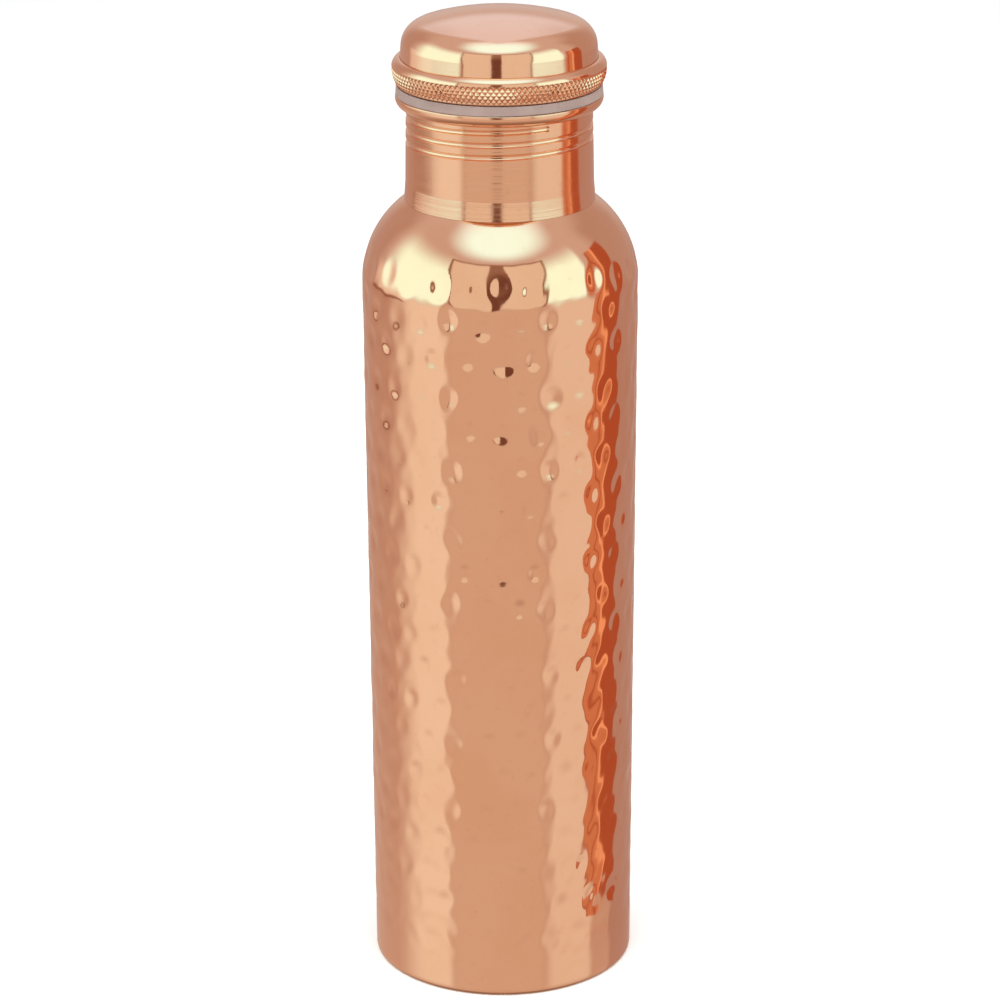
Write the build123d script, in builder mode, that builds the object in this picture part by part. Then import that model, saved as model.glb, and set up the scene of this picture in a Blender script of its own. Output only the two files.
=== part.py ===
"""Copper water bottle with a screw-in stopper cap, in millimetres, +Z up.

The origin is the centre of the foot, where the bottle stands, and every piece is turned about the Z axis.
The bottle is a drawn shell with a let-in base and a brazed-on neck. The neck's right-hand thread is rolled
inward from outside, so that its inner ridge holds the threaded plug of the cap, and a washer between the
neck's lip and the cap's grip ring seals it.
"""

from build123d import *
from math import acos, ceil, degrees, sqrt
import os

# Body shell: a drawn tube with a round shoulder, its foot turned in.
body_radius = 36.75  # outside, where the shoulder starts
body_taper = 0.95  # how much smaller the outside radius is at the foot
shoulder_start = 195.0  # height of the straight wall
shoulder_radius = 27.0  # of the shoulder's arc
shell_wall = 0.6
foot_corner = 1.0  # outside corner radius between the wall and the foot
foot_width = 3.0  # how far the foot is turned in
collar_height = 4.0  # upturned rim of the shoulder, inside the neck

# Base: a pressed cup, let in from inside and standing on the turned-in foot.
base_wall = 0.8
base_depth = 3.6
base_corner = 1.4
dish_inset = 9.0  # from the base's rim to its raised middle
dish_height = 0.8
dish_slope = 2.0  # how far the raised middle's side runs inward
solder_leg = 1.0

# Neck: a tube with a straight bore, a rolled thread and a flared lip.
neck_radius = 24.6  # outside, under the lip
neck_spread = 0.35  # how much wider the neck is at its foot
neck_wall = 0.8
neck_height = 28.3  # from the shoulder seam to the lip's seat
neck_flare = 0.4  # how far the neck's foot spreads on the shoulder
neck_flare_height = 5.0
lip_overhang = 2.75
lip_height = 3.4
lip_bulge = 1.0  # of the lip's underside, beyond a straight slope
lip_edge = 0.25
braze_leg = 0.5

# Thread of the neck and of the cap's plug.
thread_pitch = 3.25
thread_depth = 0.6
thread_nose = 0.8  # radius of the ridge, and of the groove rolled behind it
thread_turns = 2.8
thread_below_seat = 4.65  # from the lip's seat down to the top end of the ridge
thread_start = 12.0  # degrees around the neck from +X to the ridge's lower end

# Washer and cap.
washer_thickness = 2.55
washer_edge = 0.3
washer_inset = 0.05  # from the lip's outer edge to the washer's under edge
washer_taper = 0.2  # how much smaller the washer's radius is on top
plug_wall = 1.5
plug_length = 15.35  # below the grip ring
plug_flange_width = 1.6
plug_flange_thickness = 0.8
plug_chamfer = 0.5
floor_ledge = 0.4  # how far the plug's floor is let into the plug's wall
floor_recess = 0.9
floor_wall = 0.6
floor_dish_height = 1.0
floor_dish_slope = 3.0
floor_rim = 3.0
floor_solder_leg = 0.5
ring_foot_inset = 1.35  # from the lip's outer edge to the ring's under edge
ring_overhang = 0.92  # how far the ring's widest line stands out past the lip
ring_knurl_height = 4.6  # the knurled part, below the widest line
ring_bead_height = 2.7  # the smooth part, above the widest line
ring_land = 0.1  # flat left on top of the ring, around the dome
ring_floor = 1.0
joint_braze_height = 0.7
cap_wall = 0.6
skirt_inset = 1.35  # from the lip's outer edge to the dome's skirt
wall_narrowing = 0.6
corner_height = 7.7  # from the ring's top to the dome's corner, before it is rounded
dome_corner = 6.5
crown_radius = 73.0

# Clearances.
seam_gap = 0.05  # left for braze or solder
thread_clearance = 0.25
bore_clearance = 0.25  # between the plug and the neck's bore
washer_clearance = 0.35  # between the washer's hole and the plug

# Radii and heights that follow from the sizes above.
foot_radius = body_radius - body_taper
shoulder_axis = body_radius - shoulder_radius  # radius at which the arc's centre lies
bore_radius = neck_radius - neck_wall
neck_foot_radius = neck_radius + neck_spread + neck_flare
collar_radius = bore_radius - seam_gap
lip_radius = neck_radius + lip_overhang


def shoulder_z(radius):
    """Height of the shoulder's outer face at a radius."""
    return shoulder_start + sqrt(shoulder_radius**2 - (radius - shoulder_axis) ** 2)


seam_z = shoulder_z(neck_foot_radius) + seam_gap
seat_z = seam_z + neck_height
collar_top = shoulder_z(collar_radius) + collar_height
base_rim_radius = foot_radius - shell_wall - seam_gap
base_top = shell_wall + base_depth
thread_top = seat_z - thread_below_seat
thread_bottom = thread_top - thread_turns * thread_pitch
ridge_path = bore_radius - thread_depth + thread_nose
groove_path = neck_radius - thread_depth + thread_nose

ring_z = seat_z + washer_thickness
plug_radius = bore_radius - bore_clearance
plug_bore = plug_radius - plug_wall
plug_bottom = ring_z - plug_length
floor_z = plug_bottom + floor_recess
floor_radius = plug_bore + floor_ledge
flange_radius = plug_radius + plug_flange_width
flange_z = ring_z + ring_floor
ring_foot_radius = lip_radius - ring_foot_inset
ring_radius = lip_radius + ring_overhang
skirt_radius = lip_radius - skirt_inset
ring_widest_z = ring_z + ring_knurl_height
ring_top = ring_widest_z + ring_bead_height
corner_z = ring_top + corner_height
corner_radius = skirt_radius - wall_narrowing
crown_centre_z = corner_z - sqrt(crown_radius**2 - corner_radius**2)


def thread_bar(path_radius, nose, extra_turns=0):
    """A round bar along the thread's helix, with round ends, to add as a ridge or to cut as a groove.

    It ends where the neck's thread ends, and starts extra_turns, a whole number, below that thread.
    """
    height = (thread_turns + extra_turns) * thread_pitch
    with BuildPart() as bar:
        with BuildLine() as path:
            Helix(thread_pitch, height, path_radius, center=(0, 0, thread_top - height))
        with BuildSketch(Plane(path.line @ 0, z_dir=path.line % 0)):
            Circle(nose)
        sweep(path=path.line, is_frenet=True)
        with Locations(path.line @ 0, path.line @ 1):
            Sphere(nose)
    return Rot(0, 0, thread_start) * bar.part


# ---------------------------------------------------------------- bottle
with BuildPart() as body_shell:
    with BuildSketch(Plane.XZ):
        with BuildLine():
            foot = Line((foot_radius - foot_width, 0), (foot_radius, 0))
            wall = Line(foot @ 1, (body_radius, shoulder_start))
            shoulder_angle = degrees(acos((collar_radius - shoulder_axis) / shoulder_radius))
            shoulder = CenterArc((shoulder_axis, shoulder_start), shoulder_radius, 0, shoulder_angle)
            Line(shoulder @ 1, (collar_radius, collar_top))
            fillet(vertices().sort_by_distance(foot @ 1)[0], foot_corner)
            offset(amount=shell_wall, side=Side.LEFT)
        make_face()
    revolve(axis=Axis.Z)

with BuildPart() as base_plate:
    with BuildSketch(Plane.XZ):
        with BuildLine():
            dish_radius = base_rim_radius - dish_inset
            rim = Line((base_rim_radius, shell_wall), (base_rim_radius, base_top))
            Polyline(
                rim @ 1,
                (dish_radius, base_top),
                (dish_radius - dish_slope, base_top + dish_height),
                (0, base_top + dish_height),
            )
            fillet(vertices().sort_by_distance(rim @ 1)[0], base_corner)
            offset(amount=base_wall, side=Side.LEFT)
        make_face()
        chamfer(vertices().sort_by_distance(rim @ 0)[0], foot_corner - shell_wall)
    revolve(axis=Axis.Z)

with BuildPart() as base_solder:
    with BuildSketch(Plane.XZ):
        with BuildLine():
            solder_radius = base_rim_radius - base_wall
            Polyline(
                (solder_radius, shell_wall),
                (solder_radius - solder_leg, shell_wall),
                (solder_radius, shell_wall + solder_leg),
                close=True,
            )
        make_face()
    revolve(axis=Axis.Z)

with BuildPart() as neck:
    with BuildSketch(Plane.XZ):
        with BuildLine():
            lip_foot = (neck_radius, seat_z - lip_height)
            lip_edge_point = (lip_radius, seat_z - lip_edge)
            foot_top = (neck_radius + neck_spread, seam_z + neck_flare_height)
            seat = Line((lip_radius - lip_edge, seat_z), (bore_radius, seat_z))
            bore = Line(seat @ 1, (bore_radius, shoulder_z(bore_radius) + seam_gap))
            foot = RadiusArc(bore @ 1, (neck_foot_radius, seam_z), shoulder_radius)
            TangentArc(foot_top, foot @ 1, tangent=(neck_spread, -neck_flare_height))
            Line(foot_top, lip_foot)
            SagittaArc(lip_foot, lip_edge_point, -lip_bulge)
            RadiusArc(lip_edge_point, seat @ 0, -lip_edge)
        make_face()
    revolve(axis=Axis.Z)
    add(thread_bar(ridge_path, thread_nose))
    add(thread_bar(groove_path, thread_nose), mode=Mode.SUBTRACT)

with BuildPart() as neck_braze:
    with BuildSketch(Plane.XZ):
        with BuildLine():
            Polyline(
                (collar_radius, collar_top),
                (collar_radius - braze_leg, collar_top),
                (collar_radius, collar_top + braze_leg),
                close=True,
            )
        make_face()
    revolve(axis=Axis.Z)

# ---------------------------------------------------------------- cap
with BuildPart() as cap_gasket:
    with BuildSketch(Plane.XZ):
        with BuildLine():
            washer_hole = plug_radius + washer_clearance
            washer_radius = lip_radius - washer_inset
            washer_side = Line((washer_radius, seat_z), (washer_radius - washer_taper, ring_z))
            Polyline(washer_side @ 0, (washer_hole, seat_z), (washer_hole, ring_z), washer_side @ 1)
            fillet(vertices().sort_by_distance(washer_side @ 0)[0], washer_edge)
        make_face()
    revolve(axis=Axis.Z)

with BuildPart() as cap_plug:
    with BuildSketch(Plane.XZ):
        with BuildLine():
            ledge_z = floor_z + floor_wall
            flange_top = flange_z + plug_flange_thickness
            tip = (plug_radius, plug_bottom)
            Polyline(
                tip,
                (plug_radius, flange_z),
                (flange_radius, flange_z),
                (flange_radius, flange_top),
                (plug_bore, flange_top),
                (plug_bore, ledge_z),
                (floor_radius, ledge_z),
                (floor_radius, plug_bottom),
                close=True,
            )
            chamfer(vertices().sort_by_distance(tip)[0], plug_chamfer)
        make_face()
    revolve(axis=Axis.Z)
    turns_to_tip = ceil((thread_bottom - plug_bottom + thread_nose) / thread_pitch) + 1
    groove = thread_bar(ridge_path, thread_nose + thread_clearance, turns_to_tip)
    add(groove, mode=Mode.SUBTRACT)

with BuildPart() as plug_floor:
    with BuildSketch(Plane.XZ):
        with BuildLine():
            floor_edge = floor_radius - seam_gap
            floor_dish_radius = floor_edge - floor_rim
            Polyline(
                (floor_edge, floor_z),
                (floor_dish_radius, floor_z),
                (floor_dish_radius - floor_dish_slope, floor_z + floor_dish_height),
                (0, floor_z + floor_dish_height),
            )
            offset(amount=floor_wall, side=Side.RIGHT)
        make_face()
    revolve(axis=Axis.Z)

with BuildPart() as plug_solder:
    with BuildSketch(Plane.XZ):
        with BuildLine():
            Polyline(
                (floor_edge, floor_z),
                (floor_edge - floor_solder_leg, floor_z),
                (floor_edge, floor_z - floor_solder_leg),
                close=True,
            )
        make_face()
    revolve(axis=Axis.Z)

with BuildPart() as cap_grip_ring:
    with BuildSketch(Plane.XZ):
        with BuildLine():
            land_radius = skirt_radius + seam_gap + ring_land
            knurl_side = EllipticalCenterArc(
                (ring_foot_radius, ring_widest_z),
                ring_radius - ring_foot_radius,
                ring_knurl_height,
                start_angle=270,
                arc_size=90,
            )
            bead = EllipticalCenterArc(
                (land_radius, ring_widest_z),
                ring_radius - land_radius,
                ring_bead_height,
                start_angle=0,
                arc_size=90,
            )
            Polyline(
                bead @ 1,
                (skirt_radius + seam_gap, ring_top),
                (skirt_radius + seam_gap, flange_z),
                (plug_radius + seam_gap, flange_z),
                (plug_radius + seam_gap, ring_z),
                knurl_side @ 0,
            )
        make_face()
    revolve(axis=Axis.Z)

with BuildPart() as cap_dome:
    with BuildSketch(Plane.XZ):
        with BuildLine():
            corner = (corner_radius, corner_z)
            corner_angle = degrees(acos(corner_radius / crown_radius))
            Polyline((skirt_radius, flange_z), (skirt_radius, ring_top), corner)
            CenterArc((0, crown_centre_z), crown_radius, corner_angle, 90 - corner_angle)
            fillet(vertices().sort_by_distance(corner)[0], dome_corner)
            offset(amount=cap_wall, side=Side.LEFT)
        make_face()
    revolve(axis=Axis.Z)

with BuildPart() as cap_braze:
    with BuildSketch(Plane.XZ):
        with BuildLine():
            braze_outer = skirt_radius - cap_wall
            Polyline(
                (flange_radius, flange_z),
                (braze_outer, flange_z),
                (braze_outer, flange_z + joint_braze_height),
                (flange_radius, flange_z + joint_braze_height),
                close=True,
            )
        make_face()
    revolve(axis=Axis.Z)

# ---------------------------------------------------------------- files
pieces = {
    "body_shell": body_shell,
    "base_plate": base_plate,
    "base_solder": base_solder,
    "neck": neck,
    "neck_braze": neck_braze,
    "cap_gasket": cap_gasket,
    "cap_plug": cap_plug,
    "plug_floor": plug_floor,
    "plug_solder": plug_solder,
    "cap_grip_ring": cap_grip_ring,
    "cap_dome": cap_dome,
    "cap_braze": cap_braze,
}
os.makedirs("parts", exist_ok=True)
for label, piece in pieces.items():
    piece.part.label = label
    export_step(piece.part, f"parts/{label}.step")
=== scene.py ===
"""Copper water bottle: its looks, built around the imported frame. Metres, +Z up, front at -Y.

The hammered body shell and the knurled grip ring are meshes of their own. The other pieces keep
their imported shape. Copper is a mirror, so most of the look is the studio: cards that the world
draws, and one orange sheet beside the bottle.
"""

import random
from math import atan, cos, pi, radians, sin, sqrt, tan

import bpy
import numpy as np
from mathutils import Matrix, Vector


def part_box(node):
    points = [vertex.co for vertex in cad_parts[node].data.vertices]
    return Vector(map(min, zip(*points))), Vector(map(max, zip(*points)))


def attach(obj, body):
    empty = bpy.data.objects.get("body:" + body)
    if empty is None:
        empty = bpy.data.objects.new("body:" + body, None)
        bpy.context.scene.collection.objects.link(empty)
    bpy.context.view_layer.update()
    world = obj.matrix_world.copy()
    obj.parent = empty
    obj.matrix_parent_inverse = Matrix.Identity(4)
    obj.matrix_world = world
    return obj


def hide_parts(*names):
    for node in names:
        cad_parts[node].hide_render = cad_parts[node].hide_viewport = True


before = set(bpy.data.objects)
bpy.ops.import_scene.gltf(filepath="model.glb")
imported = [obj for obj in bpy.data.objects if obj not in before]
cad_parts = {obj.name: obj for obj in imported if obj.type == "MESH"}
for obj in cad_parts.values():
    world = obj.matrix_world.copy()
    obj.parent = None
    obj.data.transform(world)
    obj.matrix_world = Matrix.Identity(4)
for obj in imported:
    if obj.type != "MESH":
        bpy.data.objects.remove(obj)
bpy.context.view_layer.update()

# ---------------------------------------------------------------- sizes, in metres
MM = 0.001

# Body shell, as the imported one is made.
body_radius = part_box("body_shell")[1].x
body_taper = 0.95 * MM
shoulder_start = 195.0 * MM
shoulder_radius = 27.0 * MM
shell_wall = 0.6 * MM
foot_corner = 1.0 * MM
foot_width = 3.0 * MM
collar_radius = 23.75 * MM
collar_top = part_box("body_shell")[1].z
collar_bore = collar_radius - shell_wall
collar_rows_start = collar_top - 3.0 * MM  # the collar's upper part has mesh rows of its own
foot_radius = body_radius - body_taper
shoulder_axis = body_radius - shoulder_radius

# Hammering.
shell_segments = 384
hammer_step = 1.0 * MM  # between the mesh rows of the hammered wall
inner_rows = 12  # mesh rows for each stretch of the smooth inside
dimple_rows_top = 202.2 * MM  # height of the highest row, measured along the wall
dimple_rows_bottom = 13.0 * MM
dimple_row_step = 9.8 * MM
dimples_around = 26
dimple_size = (3.2 * MM, 4.4 * MM)  # smallest and largest radius
dimple_squeeze = (0.92, 1.06)  # its share of that radius around the wall, and up it
dimple_depth = (0.26 * MM, 0.50 * MM)
dimple_jitter = 1.2 * MM
lower_softness = 0.3  # depth of the lowest rows, as a share of the highest
softness_curve = 1.3  # 1 softens the rows evenly downwards, and more keeps the upper ones deep
ripple_slope = 0.026  # how steep the soft waves between the dimples are
ripple_waves = 44
ripple_around = 54  # the most waves that fit around the wall
ripple_upward = (0.15 / MM, 1.1 / MM)  # their turn for each metre up the wall
ripple_bottom = 8 * MM  # the ripple starts here and grows over ripple_growth
ripple_growth = 6 * MM
ripple_top = 209 * MM  # it is gone here, after it fades over ripple_fade
ripple_fade = 8 * MM

# Grip ring.
ring_low, ring_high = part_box("cap_grip_ring")
ring_radius = ring_high.x
ring_foot_radius = 26.0 * MM
ring_widest_height = 4.6 * MM
ring_knurl_height = 5.7 * MM  # the knurl runs a little past the widest line
ring_bore = 23.6 * MM
ring_counterbore = 26.05 * MM
ring_floor = 1.0 * MM
ring_land = 0.1 * MM
knurls_around = 120
knurl_cells = 8  # mesh segments for each knurl
knurl_angle = radians(36)  # between the knurl's lines and the axis
knurl_depth = 0.50 * MM
knurl_edge = 0.35 * MM  # how wide the knurl's fade is at its top and bottom
knurl_rows = 34
bead_rows = 22

same_point = 1e-7  # outline points nearer than this are one
same_radius = 1e-6


# ---------------------------------------------------------------- mesh helpers
def placed(name, data):
    """A new object in the scene."""
    piece = bpy.data.objects.new(name, data)
    bpy.context.scene.collection.objects.link(piece)
    return piece


def arc(centre, radius, start, end, count):
    """Points (r, z) along an arc, angles in radians, both ends included. radius may be (rr, rz)."""
    rr, rz = radius if isinstance(radius, tuple) else (radius, radius)
    angles = np.linspace(start, end, count)
    return np.column_stack([centre[0] + rr * np.cos(angles), centre[1] + rz * np.sin(angles)])


def run(start, end, count=2):
    """Points (r, z) along a straight line, both ends included."""
    return np.linspace(start, end, count)


def joined(*stretches):
    """One closed outline from stretches that follow each other, without the doubled points."""
    points = np.vstack(stretches)
    keep = np.linalg.norm(points - np.roll(points, 1, axis=0), axis=1) > same_point
    return points[keep]


def outline_normals(outline):
    """Unit normals of a closed outline, pointing out of the metal where it runs anticlockwise."""
    ahead, behind = np.roll(outline, -1, axis=0), np.roll(outline, 1, axis=0)
    along = ahead - behind
    normals = np.column_stack([along[:, 1], -along[:, 0]])
    return normals / np.linalg.norm(normals, axis=1, keepdims=True)


def turned_mesh(name, outline, segments, sink=None, sharp=radians(32)):
    """A closed mesh turned about Z from an outline. sink[row, segment] pushes the surface in."""
    rows = len(outline)
    angles = np.arange(segments) * 2 * pi / segments
    r = np.repeat(outline[:, :1], segments, axis=1)
    z = np.repeat(outline[:, 1:], segments, axis=1)
    if sink is not None:
        normals = outline_normals(outline)
        r = r - sink * normals[:, :1]
        z = z - sink * normals[:, 1:]
    vertices = np.stack([r * np.cos(angles), r * np.sin(angles), z], axis=-1).reshape(-1, 3)
    row, segment = np.meshgrid(np.arange(rows), np.arange(segments), indexing="ij")
    next_row, next_segment = (row + 1) % rows, (segment + 1) % segments
    corners = [(row, segment), (row, next_segment), (next_row, next_segment), (next_row, segment)]
    faces = np.stack([a * segments + b for a, b in corners], axis=-1).reshape(-1, 4)
    mesh = bpy.data.meshes.new(name)
    mesh.from_pydata(vertices.tolist(), [], faces.tolist())
    mesh.polygons.foreach_set("use_smooth", np.ones(len(faces), bool))
    mesh.set_sharp_from_angle(angle=sharp)
    mesh.update()
    return placed(name, mesh)


# ---------------------------------------------------------------- hammered body
def shell_outline():
    """The shell's closed outline from the foot's inner edge, up the outside and down the inside.

    Also gives which rows are hammered, and how far up the wall each of them lies.
    """
    shoulder_angle = np.arccos((collar_radius - shoulder_axis) / shoulder_radius)
    slope = atan(body_taper / shoulder_start)
    corner_centre = (foot_radius - foot_corner, foot_corner)
    wall_foot = foot_corner + hammer_step
    wall_rows = int((shoulder_start - wall_foot) / hammer_step)
    arc_rows = int(shoulder_radius * shoulder_angle / hammer_step)

    def wall_at(z):
        return (foot_radius + z * tan(slope), z)

    outside = [
        run((foot_radius - foot_width, 0), (foot_radius - foot_corner, 0), 4),
        arc(corner_centre, foot_corner, -pi / 2, 0, 6),
        run(wall_at(wall_foot), wall_at(shoulder_start), wall_rows),
        arc((shoulder_axis, shoulder_start), shoulder_radius, 0, shoulder_angle, arc_rows),
        run((collar_radius, collar_rows_start), (collar_radius, collar_top), 4),
    ]
    inner_arc = shoulder_radius - shell_wall
    inner_angle = np.arccos((collar_bore - shoulder_axis) / inner_arc)
    inner_corner = foot_corner - shell_wall
    inside = [
        run((collar_bore, collar_top), (collar_bore, collar_rows_start), 2),
        arc((shoulder_axis, shoulder_start), inner_arc, inner_angle, 0, inner_rows),
        run(
            (body_radius - shell_wall, shoulder_start),
            (foot_radius - shell_wall, foot_corner),
            inner_rows,
        ),
        arc(corner_centre, inner_corner, 0, -pi / 2, 3),
        run((foot_radius - foot_corner, shell_wall), (foot_radius - foot_width, shell_wall), 2),
    ]
    outline = joined(*outside, *inside)
    lengths = np.linalg.norm(np.diff(outline, axis=0), axis=1)
    foot_travel = foot_width - foot_corner + foot_corner * pi / 2
    travel = np.concatenate([[0], np.cumsum(lengths)]) - foot_travel
    # Two of the joins share a point, and the collar's top row is left out.
    outer_rows = sum(len(stretch) for stretch in outside) - 3
    return outline, travel + foot_corner, outer_rows


def hammer_marks(travel, outer_rows):
    """How far each point of the shell is hammered in: staggered rows of dimples and a soft ripple."""
    dice = random.Random(11)
    angles = np.arange(shell_segments) * 2 * pi / shell_segments
    sink = np.zeros((len(travel), shell_segments))
    rows = np.arange(outer_rows)
    height = travel[rows][:, None]

    grow = np.clip((height - ripple_bottom) / ripple_growth, 0, 1)
    fade = grow * np.clip((ripple_top - height) / ripple_fade, 0, 1)
    ripple = np.zeros((outer_rows, shell_segments))
    for _ in range(ripple_waves):
        around = dice.randint(-ripple_around, ripple_around)
        upward = dice.uniform(*ripple_upward)
        steepness = sqrt((around / body_radius) ** 2 + upward**2)
        wave = np.cos(around * angles[None, :] + upward * height + dice.uniform(0, 2 * pi))
        ripple += wave / steepness
    sink[rows] += fade * ripple * ripple_slope * sqrt(2 / ripple_waves)

    front = -pi / 2
    count = round((dimple_rows_top - dimple_rows_bottom) / dimple_row_step) + 1
    for k in range(count):
        level = k / (count - 1)
        softness = 1 - (1 - lower_softness) * level**softness_curve
        for i in range(dimples_around):
            centre_angle = front + (i + 0.5 * (k % 2)) * 2 * pi / dimples_around
            centre_angle += dice.uniform(-dimple_jitter, dimple_jitter) / body_radius
            centre_height = dimple_rows_top - k * dimple_row_step
            centre_height += dice.uniform(-dimple_jitter, dimple_jitter)
            radius = dice.uniform(*dimple_size)
            depth = dice.uniform(*dimple_depth) * softness
            turn = (angles - centre_angle + pi) % (2 * pi) - pi
            across, upright = radius * dimple_squeeze[0], radius * dimple_squeeze[1]
            near_angle = np.abs(turn) * body_radius < across
            near_height = np.abs(travel[rows] - centre_height) < upright
            du = turn[near_angle][None, :] * body_radius / across
            dv = (travel[rows][near_height] - centre_height)[:, None] / upright
            bowl = np.clip(1 - du**2 - dv**2, 0, 1) ** 2
            sink[np.ix_(rows[near_height], np.flatnonzero(near_angle))] += depth * bowl
    return sink


def hammered_body():
    """The shell, hammered on its outside. Its inside is smooth."""
    outline, travel, outer_rows = shell_outline()
    marks = hammer_marks(travel, outer_rows)
    return turned_mesh("hammered_body", outline, shell_segments, marks)


# ---------------------------------------------------------------- knurled grip ring
def knurled_ring():
    """The ring: a diamond knurl on its lower side and a smooth bead above its widest line."""
    base, top = ring_low.z, ring_high.z
    widest = base + ring_widest_height
    knurl_side = arc(
        (ring_foot_radius, widest),
        (ring_radius - ring_foot_radius, ring_widest_height),
        -pi / 2,
        0,
        knurl_rows,
    )
    bead_foot = ring_counterbore + ring_land
    bead = arc((bead_foot, widest), (ring_radius - bead_foot, top - widest), 0, pi / 2, bead_rows)
    outline = joined(
        run((ring_bore, base), (ring_foot_radius, base), 3),
        knurl_side,
        bead,
        run((ring_counterbore, top), (ring_counterbore, base + ring_floor), 3),
        run((ring_counterbore, base + ring_floor), (ring_bore, base + ring_floor), 3),
        run((ring_bore, base + ring_floor), (ring_bore, base), 2),
    )
    segments = knurls_around * knurl_cells
    turns = np.arange(segments) / knurl_cells
    height = outline[:, 1][:, None] - base
    pitch = 2 * pi * ring_radius / knurls_around
    lean = height * tan(knurl_angle) / pitch
    groove_a = np.abs((turns[None, :] + lean) % 1 - 0.5) * 2
    groove_b = np.abs((turns[None, :] - lean) % 1 - 0.5) * 2
    cut = np.maximum(groove_a, groove_b)
    above = np.clip((height - knurl_edge) / knurl_edge, 0, 1)
    under = np.clip((ring_knurl_height - height - knurl_edge) / knurl_edge, 0, 1)
    inside = above * under
    on_side = (outline[:, 0] >= ring_foot_radius - same_radius)[:, None]
    return turned_mesh("knurled_ring", outline, segments, cut * inside * on_side * knurl_depth)


# ---------------------------------------------------------------- node helpers
class Nodes:
    """Short calls for making and joining shader nodes."""

    def __init__(self, tree):
        self.tree = tree
        tree.nodes.clear()

    def make(self, kind, **inputs):
        node = self.tree.nodes.new(kind)
        for name, value in inputs.items():
            self.put(node, name.replace("_", " "), value)
        return node

    def put(self, node, name, value):
        socket = node.inputs[name]
        if isinstance(value, bpy.types.NodeSocket):
            self.tree.links.new(value, socket)
        else:
            socket.default_value = value

    def math(self, operation, *values):
        node = self.tree.nodes.new("ShaderNodeMath")
        node.operation = operation
        for socket, value in zip(node.inputs, values):
            if isinstance(value, bpy.types.NodeSocket):
                self.tree.links.new(value, socket)
            else:
                socket.default_value = value
        return node.outputs[0]

    def span(self, value, low, high, to_low=0.0, to_high=1.0, smooth=False):
        """value, taken from the range low to high into the range to_low to to_high."""
        node = self.tree.nodes.new("ShaderNodeMapRange")
        node.interpolation_type = "SMOOTHSTEP" if smooth else "LINEAR"
        limits = {"From Min": low, "From Max": high, "To Min": to_low, "To Max": to_high}
        for name, number in limits.items():
            node.inputs[name].default_value = number
        self.tree.links.new(value, node.inputs["Value"])
        return node.outputs["Result"]

    def mix(self, share, first, second):
        node = self.tree.nodes.new("ShaderNodeMix")
        node.data_type = "RGBA"
        for index, value in ((0, share), (6, first), (7, second)):
            if isinstance(value, bpy.types.NodeSocket):
                self.tree.links.new(value, node.inputs[index])
            elif index == 0:
                node.inputs[index].default_value = value
            else:
                node.inputs[index].default_value = (*value, 1)
        return node.outputs[2]

    def ramp(self, value, stops):
        """A colour ramp with stops [(position, colour), ...]."""
        node = self.tree.nodes.new("ShaderNodeValToRGB")
        elements = node.color_ramp.elements
        elements[0].position, elements[0].color = stops[0][0], (*stops[0][1], 1)
        elements[1].position, elements[1].color = stops[-1][0], (*stops[-1][1], 1)
        for position, colour in stops[1:-1]:
            elements.new(position).color = (*colour, 1)
        self.tree.links.new(value, node.inputs[0])
        return node.outputs[0]

    def noise(self, vector, scale, detail=2.0, roughness=0.5, distortion=0.0):
        node = self.make(
            "ShaderNodeTexNoise",
            Scale=scale,
            Detail=detail,
            Roughness=roughness,
            Distortion=distortion,
        )
        self.tree.links.new(vector, node.inputs["Vector"])
        return node.outputs["Fac"]

    def stretched(self, vector, scale):
        node = self.tree.nodes.new("ShaderNodeMapping")
        node.inputs["Scale"].default_value = scale
        self.tree.links.new(vector, node.inputs["Vector"])
        return node.outputs["Vector"]

    def azimuth(self, x, y):
        """The direction of a place or a ray, in degrees from the front, positive to the right."""
        return self.math("DEGREES", self.math("ARCTAN2", x, self.math("MULTIPLY", y, -1.0)))


def new_material(name):
    """A material, its nodes, and the object coordinates that its textures use."""
    material = bpy.data.materials.new(name)
    material.use_nodes = True
    n = Nodes(material.node_tree)
    return material, n, n.make("ShaderNodeTexCoord").outputs["Object"]


def put_out(n, shader, kind="Material"):
    """Joins a shader to the output that ends its tree."""
    out = n.make("ShaderNodeOutput" + kind)
    n.put(out, "Surface", shader.outputs[0])


# ---------------------------------------------------------------- materials
copper_light = (0.955, 0.575, 0.395)
copper_deep = (0.900, 0.485, 0.300)
copper_speck = (0.62, 0.27, 0.15)
silicone_pale_shaded = (0.41, 0.305, 0.27)
# The washer's two colours are darkened: painted shade where it sits under the grip ring.
silicone_deep_shaded = (0.34, 0.245, 0.215)
braze_light = (0.74, 0.56, 0.40)
braze_deep = (0.55, 0.36, 0.24)
floor_light = (0.95, 0.95, 0.95)
floor_deep = (0.93, 0.93, 0.93)


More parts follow.
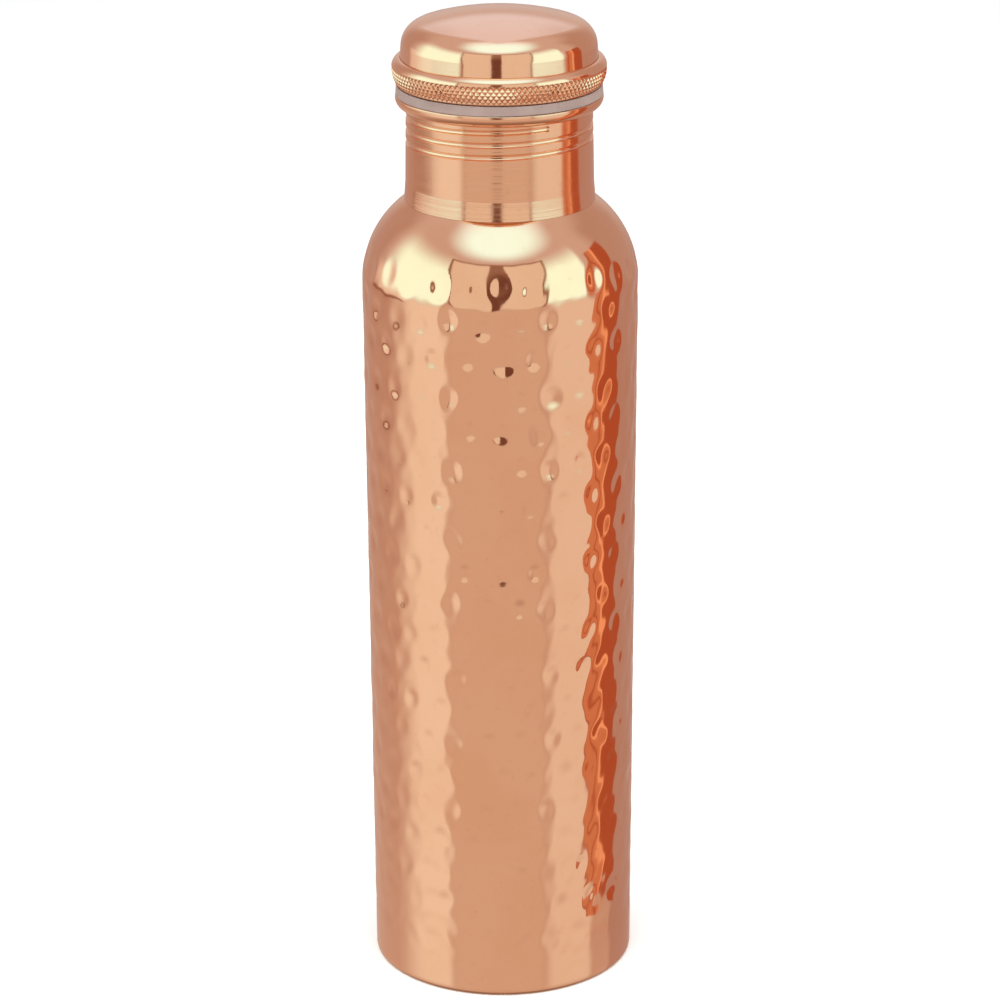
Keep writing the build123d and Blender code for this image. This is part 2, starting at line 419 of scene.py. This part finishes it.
def copper(name, smooth, dull, lathe=0.0, grain=0.0, tarnish=0.35):
    """Lacquered copper. smooth and dull are the roughness where it is cleanest and most smudged.

    lathe is the strength of the fine marks around the axis, grain that of an even fine texture.
    """
    material, n, place = new_material(name)
    patches = n.noise(place, 34, detail=4, roughness=0.6, distortion=0.6)
    specks = n.noise(place, 420, detail=3, roughness=0.7)
    rings = n.noise(n.stretched(place, (30, 30, 1500)), 1, detail=3, roughness=0.55)
    tone = n.math("MULTIPLY", n.span(patches, 0.42, 0.72, smooth=True), tarnish)
    colour = n.mix(tone, copper_light, copper_deep)
    speck_tone = n.span(specks, 0.60, 0.74, 0.0, 0.35 * tarnish)
    colour = n.mix(speck_tone, colour, copper_speck)
    smudge = n.noise(n.stretched(place, (1.0, 1.0, 0.5)), 60, detail=5, roughness=0.65, distortion=1.2)
    rough = n.span(smudge, 0.35, 0.75, smooth, dull, smooth=True)
    if lathe:
        rough = n.math("ADD", rough, n.span(rings, 0.4, 0.7, 0.0, 0.10 * lathe))
    shader = n.make("ShaderNodeBsdfPrincipled", Metallic=1.0, Base_Color=colour, Roughness=rough)
    fine = n.noise(place, 900, detail=2, roughness=0.5)
    bump = n.make("ShaderNodeBump", Strength=0.05 + grain, Distance=0.00002, Height=fine)
    normal = bump.outputs[0]
    if lathe:
        streaks = n.noise(n.stretched(place, (90, 90, 2600)), 1, detail=4, roughness=0.6)
        marks = n.math("ADD", rings, n.math("MULTIPLY", streaks, 0.5))
        bump = n.make("ShaderNodeBump", Strength=lathe, Distance=0.00003, Height=marks)
        n.put(bump, "Normal", normal)
        normal = bump.outputs[0]
    n.put(shader, "Normal", normal)
    put_out(n, shader)
    return material


def silicone():
    """Whitish translucent silicone with a faint mould texture. Both of its colours are made darker, as
    painted shade from the grip ring above, and pinkish.
    """
    material, n, place = new_material("silicone")
    cloud = n.noise(place, 120, detail=3)
    colour = n.mix(n.span(cloud, 0.35, 0.7), silicone_pale_shaded, silicone_deep_shaded)
    rough = n.span(n.noise(place, 300, detail=3), 0.3, 0.7, 0.32, 0.5)
    shader = n.make("ShaderNodeBsdfPrincipled", Base_Color=colour, Roughness=rough, IOR=1.41)
    n.put(shader, "Subsurface Weight", 0.35)
    n.put(shader, "Subsurface Radius", (0.0012, 0.0010, 0.0009))
    n.put(shader, "Subsurface Scale", 1.0)
    texture = n.noise(place, 800, detail=2)
    bump = n.make("ShaderNodeBump", Strength=0.3, Distance=0.00004, Height=texture)
    n.put(shader, "Normal", bump.outputs[0])
    put_out(n, shader)
    return material


def braze():
    """Filler metal in the seams: paler than copper, with a rippled, cast skin."""
    material, n, place = new_material("braze_metal")
    ripple = n.noise(place, 600, detail=3, distortion=0.8)
    colour = n.mix(n.span(ripple, 0.35, 0.7), braze_light, braze_deep)
    rough = n.span(ripple, 0.3, 0.7, 0.25, 0.45)
    shader = n.make("ShaderNodeBsdfPrincipled", Metallic=1.0, Base_Color=colour, Roughness=rough)
    bump = n.make("ShaderNodeBump", Strength=0.5, Distance=0.00008, Height=ripple)
    n.put(shader, "Normal", bump.outputs[0])
    put_out(n, shader)
    return material


def dress(piece, material):
    """Gives a piece one material, in whatever slots it has."""
    piece.data.materials.clear()
    piece.data.materials.append(material)


# ---------------------------------------------------------------- studio
# What the copper reflects. Azimuths are degrees from the front, positive to the right, and
# elevations are degrees above the horizon. Colours may be brighter than 1.
side_low = (0.63, 0.48, 0.395)
side_high = (0.51, 0.345, 0.285)
side_right = (0.49, 0.325, 0.275)
side_shoulder = (0.52, 0.375, 0.32)
below = (0.30, 0.19, 0.14)
pink = (0.66, 0.56, 0.52)
card_grey = (0.69, 0.56, 0.45)
card_lit = (0.83, 0.78, 0.66)
glow = (0.90, 0.87, 0.77)
glow_right = (0.825, 0.76, 0.66)
softbox = (1.05, 1.60, 1.50)
ring_fill = (0.84, 0.74, 0.66)
overhead = (1.02, 1.66, 1.75)
ceiling = (0.95, 1.10, 1.20)
back_wall = (0.84, 0.86, 0.95)
soft_fill = (0.60, 0.60, 0.60)  # what lights the floor and the washer
dark = (0.18, 0.075, 0.05)
dark_soft = (0.34, 0.20, 0.14)
card_edge = (0.32, 0.17, 0.11)
orange = (0.66, 0.27, 0.14)
orange_deep = (0.45, 0.115, 0.050)
orange_light = (0.98, 0.50, 0.28)
orange_edge = (0.42, 0.14, 0.085)

backdrop = [(-90, below), (-62, below), (-30, side_low), (-13, side_high), (4, pink), (90, pink)]
# Each card is its colour, then its azimuths and its elevations, as (low, softness, high, softness).
cards = [
    (ceiling, (-180, 1, 180, 1), (70, 16, 92, 1)),
    (back_wall, (166, 14, 190, 1), (20, 9, 84, 12)),
    (back_wall, (-190, 1, -166, 14), (20, 9, 84, 12)),
    (side_right, (112, 8, 165, 24), (-40, 18, -4, 10)),
    (side_shoulder, (104, 20, 160, 30), (-8, 10, 46, 20)),
    (side_shoulder, (-160, 30, -122, 16), (-8, 10, 40, 20)),
    (glow, (-92, 40, -46, 13), (-33, 16, -8, 8)),
    (glow_right, (41, 15, 86, 8), (-33, 16, -8, 8)),
    (ring_fill, (-124, 10, -84, 10), (-10.6, 2.4, 4, 8)),
    (softbox, (-108, 24, -46, 4), (-6.5, 11, 35, 22)),
    (softbox, (38, 4, 80, 5), (-6.5, 11, 36, 22)),
    (card_edge, (-130, 5, -90, 6), (-12.6, 1.0, -10.9, 1.0)),
    (card_grey, (-45, 11, 37, 11), (-36, 18, -8, 5)),
]
# The panel straight ahead grows wider upwards, by this share of its azimuth for each degree.
panel_flare = 0.0032
panel_cards = [
    (card_edge, (-44.5, 1, 38.5, 1), (-9.5, 4, 41.2, 2)),
    (card_lit, (-42.5, 1, 36.5, 1), (-9.5, 5, 39.8, 2)),
    (dark_soft, (-9, 0.8, 2.6, 0.8), (-9.5, 3, 40.5, 1.5)),
    (dark, (-9, 0.8, 2.6, 0.8), (-9.5, 3, 24, 22)),
]
# The light overhead is an ellipse on the ceiling. Its places are shares of the ceiling's height.
overhead_forward = 0.42
overhead_reach = (0.52, 0.46)
overhead_edge = (0.60, 1.55)  # where the light starts to fade and where it is gone
ceiling_slope = 0.05  # a ray less steep than this counts as this steep

# The orange strip is a real sheet, so that low marks on the wall see its foot and high ones don't.
strip_distance = 250 * MM
strip_heights = (-85 * MM, 0, 335 * MM)
strip_lean = (9, -7)  # how far its left and right edges move in at the top, in degrees
strip_columns = 24
strip_colours = [
    (73.0, orange_edge),
    (75.5, orange),
    (81.0, orange),
    (83.0, orange_deep),
    (85.0, orange),
    (88.6, orange),
    (89.4, orange_light),
    (91.2, orange_light),
    (92.2, orange_deep),
    (107.0, orange_deep),
    (111.0, orange_edge),
]

floor_reach = 4.0  # from the floor's middle to its sides


def studio():
    """The world: reflections see the cards, the camera sees white and all else sees soft_fill."""
    world = bpy.data.worlds.new("studio")
    bpy.context.scene.world = world
    world.use_nodes = True
    n = Nodes(world.node_tree)
    place = n.make("ShaderNodeTexCoord").outputs["Generated"]
    x, y, z = n.make("ShaderNodeSeparateXYZ", Vector=place).outputs
    azimuth = n.azimuth(x, y)
    elevation = n.math("DEGREES", n.math("ARCSINE", z))

    def within(angle, low, low_soft, high, high_soft):
        """1 between low and high, and 0 outside them, with edges as wide as their softness."""
        up = n.span(angle, low - low_soft / 2, low + low_soft / 2, smooth=True)
        down = n.span(angle, high - high_soft / 2, high + high_soft / 2, 1.0, 0.0, smooth=True)
        return n.math("MULTIPLY", up, down)

    stops = [((angle + 90) / 180, colour) for angle, colour in backdrop]
    light = n.ramp(n.span(elevation, -90, 90), stops)
    flare = n.math("SUBTRACT", 1.0, n.math("MULTIPLY", elevation, panel_flare))
    flared = n.math("MULTIPLY", azimuth, flare)
    for angle, group in ((azimuth, cards), (flared, panel_cards)):
        for colour, across, upward in group:
            share = n.math("MULTIPLY", within(angle, *across), within(elevation, *upward))
            light = n.mix(share, light, colour)

    height = n.math("MAXIMUM", z, ceiling_slope)
    aside = n.math("DIVIDE", n.math("DIVIDE", x, height), overhead_reach[0])
    forward = n.math("DIVIDE", n.math("MULTIPLY", y, -1.0), height)
    ahead = n.math("DIVIDE", n.math("SUBTRACT", forward, overhead_forward), overhead_reach[1])
    squares = n.math("ADD", n.math("POWER", aside, 2.0), n.math("POWER", ahead, 2.0))
    spread = n.math("SQRT", squares)
    light = n.mix(n.span(spread, *overhead_edge, 1.0, 0.0, smooth=True), light, overhead)
    rays = n.make("ShaderNodeLightPath")
    light = n.mix(rays.outputs["Is Glossy Ray"], soft_fill, light)
    light = n.mix(rays.outputs["Is Camera Ray"], light, (1.0, 1.0, 1.0))
    background = n.make("ShaderNodeBackground", Color=light, Strength=1.0)
    put_out(n, background, "World")


def orange_strip():
    """A tall curved sheet to the right of the bottle, seen only in reflections."""
    low, high = strip_colours[0][0], strip_colours[-1][0]
    edges = [(low, high), (low, high), (low + strip_lean[0], high + strip_lean[1])]
    vertices = []
    for (left, right), z in zip(edges, strip_heights):
        for i in range(strip_columns + 1):
            angle = radians(left + (right - left) * i / strip_columns)
            vertices.append((strip_distance * sin(angle), -strip_distance * cos(angle), z))
    faces = []
    for level in range(len(strip_heights) - 1):
        for i in range(strip_columns):
            corner = level * (strip_columns + 1) + i
            upper = corner + strip_columns + 1
            faces.append((corner, corner + 1, upper + 1, upper))
    mesh = bpy.data.meshes.new("orange_strip")
    mesh.from_pydata(vertices, [], faces)
    strip = placed("orange_strip", mesh)
    material, n, place = new_material("orange_strip")
    x, y, z = n.make("ShaderNodeSeparateXYZ", Vector=place).outputs
    azimuth = n.azimuth(x, y)
    stops = [((angle - low) / (high - low), colour) for angle, colour in strip_colours]
    colour = n.ramp(n.span(azimuth, low, high), stops)
    light = n.make("ShaderNodeEmission", Color=colour, Strength=1.0)
    put_out(n, light)
    mesh.materials.append(material)
    strip.visible_camera = False
    strip.visible_diffuse = False
    strip.visible_shadow = False


def floor():
    """A plain pale floor, left out of the copper's reflections."""
    mesh = bpy.data.meshes.new("floor")
    sides = ((-1, -1), (1, -1), (1, 1), (-1, 1))
    mesh.from_pydata([(x * floor_reach, y * floor_reach, 0) for x, y in sides], [], [(0, 1, 2, 3)])
    plane = placed("floor", mesh)
    material, n, place = new_material("floor")
    colour = n.mix(n.noise(place, 3, detail=2), floor_deep, floor_light)
    shader = n.make("ShaderNodeBsdfPrincipled", Base_Color=colour, Roughness=0.9)
    put_out(n, shader)
    mesh.materials.append(material)
    plane.visible_glossy = False


def soft_light(name, place, target, size, power):
    """A square soft light that lights the floor and washer and isn't seen in the copper."""
    lamp = bpy.data.lights.new(name, "AREA")
    lamp.size = size
    lamp.energy = power
    light = placed(name, lamp)
    light.location = place
    light.rotation_mode = "QUATERNION"
    light.rotation_quaternion = (Vector(target) - Vector(place)).to_track_quat("-Z", "Y")
    light.visible_glossy = False
    light.visible_camera = False


def camera():
    """The view: from a little above, a metre away, with a long lens."""
    elevation = radians(19.61)
    distance = 1.0202
    target = Vector((-0.00034, 0, 0.1320))
    roll = radians(-0.28)
    back = Vector((0, -cos(elevation), sin(elevation)))
    data = bpy.data.cameras.new("camera")
    data.lens = 134.92
    data.sensor_width = 36
    data.dof.use_dof = False
    view = placed("camera", data)
    turn = (-back).to_track_quat("-Z", "Y").to_matrix().to_4x4() @ Matrix.Rotation(roll, 4, "Z")
    view.matrix_world = Matrix.Translation(target + back * distance) @ turn
    bpy.context.scene.camera = view


# ---------------------------------------------------------------- build
camera()
studio()
orange_strip()
floor()
soft_light("overhead", place=(0, -0.3, 1.6), target=(0, 0, 0), size=2.2, power=42)

body_copper = copper("hammered_copper", smooth=0.045, dull=0.11)
neck_copper = copper("turned_copper", smooth=0.09, dull=0.16, lathe=0.6)
ring_copper = copper("ring_copper", smooth=0.07, dull=0.13, grain=0.1)
dome_copper = copper("dome_copper", smooth=0.05, dull=0.12, lathe=0.12)
base_copper = copper("base_copper", smooth=0.16, dull=0.30, grain=0.3, tarnish=0.8)
braze_metal = braze()
washer_silicone = silicone()

body = hammered_body()
dress(body, body_copper)
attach(body, "bottle")
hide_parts("body_shell")

ring = knurled_ring()
dress(ring, ring_copper)
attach(ring, "cap")
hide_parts("cap_grip_ring")

node_materials = {
    "neck": neck_copper,
    "cap_plug": neck_copper,
    "cap_dome": dome_copper,
    "base_plate": base_copper,
    "plug_floor": base_copper,
    "base_solder": braze_metal,
    "neck_braze": braze_metal,
    "plug_solder": braze_metal,
    "cap_braze": braze_metal,
    "cap_gasket": washer_silicone,
}
for node, material in node_materials.items():
    dress(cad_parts[node], material)

bpy.context.scene.view_settings.view_transform = "Standard"
